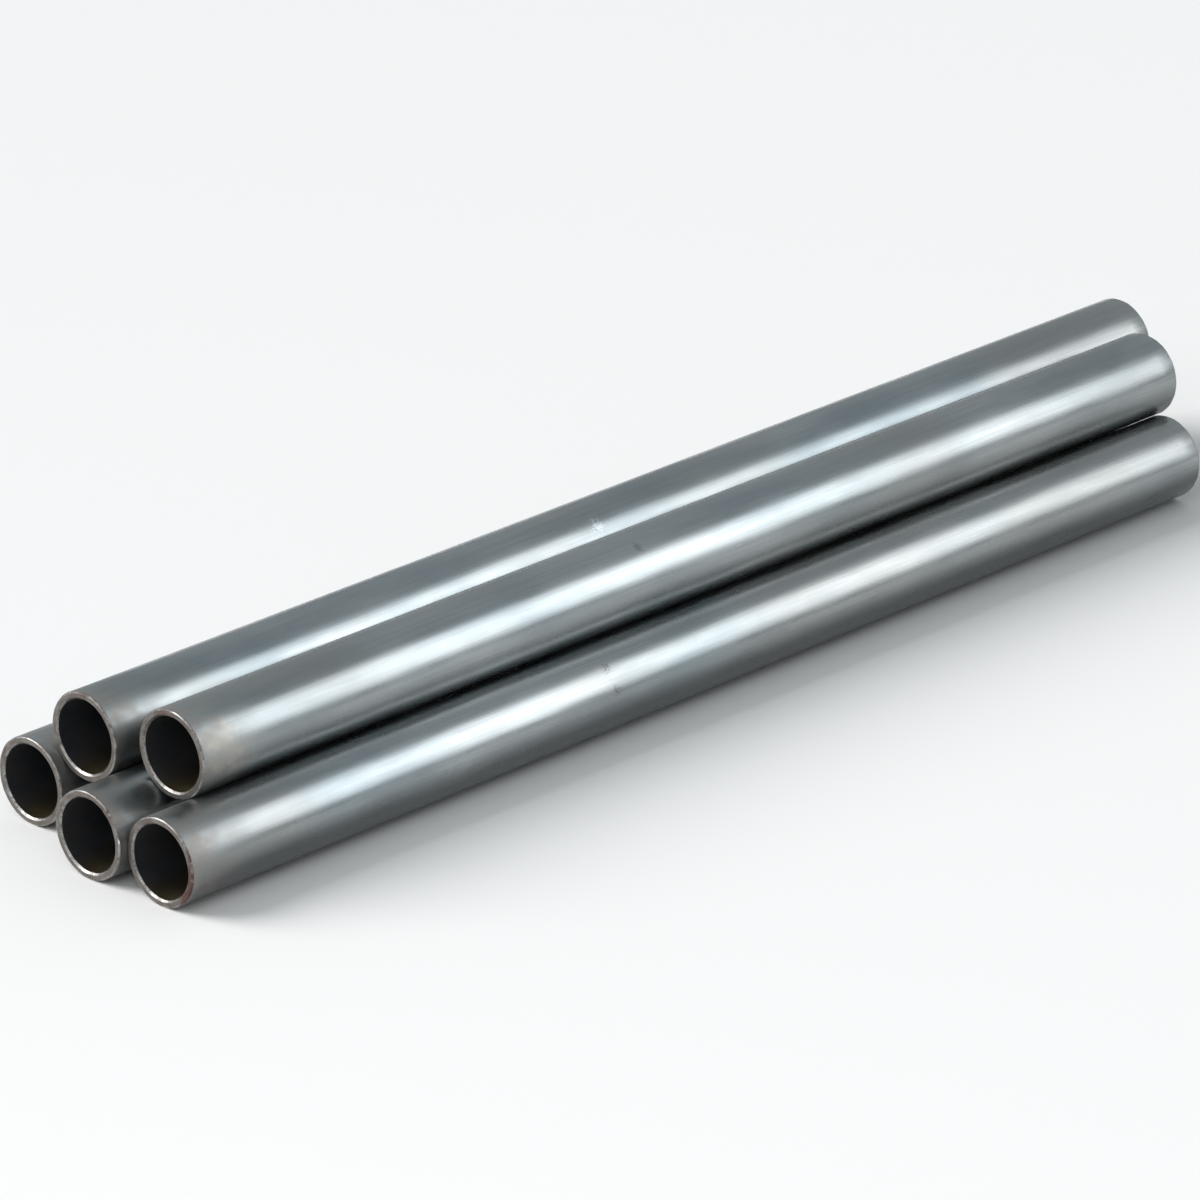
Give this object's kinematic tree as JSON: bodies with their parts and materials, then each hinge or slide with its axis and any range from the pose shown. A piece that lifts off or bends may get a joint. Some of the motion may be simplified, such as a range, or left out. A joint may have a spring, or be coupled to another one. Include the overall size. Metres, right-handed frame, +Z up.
{
  "type": "stack of steel tubes",
  "caption": "Loose stack of short round zinc-coated steel tubes lying on a floor, with two in the hollows of the row below.",
  "frame": {"origin": "on the floor, below the middle of the stack", "axes": "+X along the tubes from the near ends to the far ends, +Y to the left as seen from the near ends, +Z up"},
  "size_m": [0.84, 0.165, 0.0903],
  "materials": {
    "zinc_coated_steel": "satin zinc coat, bluish grey, with bare saw-cut rims and a dark unplated bore"
  },
  "bodies": {
    "root": {"bottom_tube_left": "zinc_coated_steel", "bottom_tube_middle": "zinc_coated_steel", "bottom_tube_right": "zinc_coated_steel", "top_tube_left": "zinc_coated_steel", "top_tube_right": "zinc_coated_steel"}
  },
  "joints": []
}
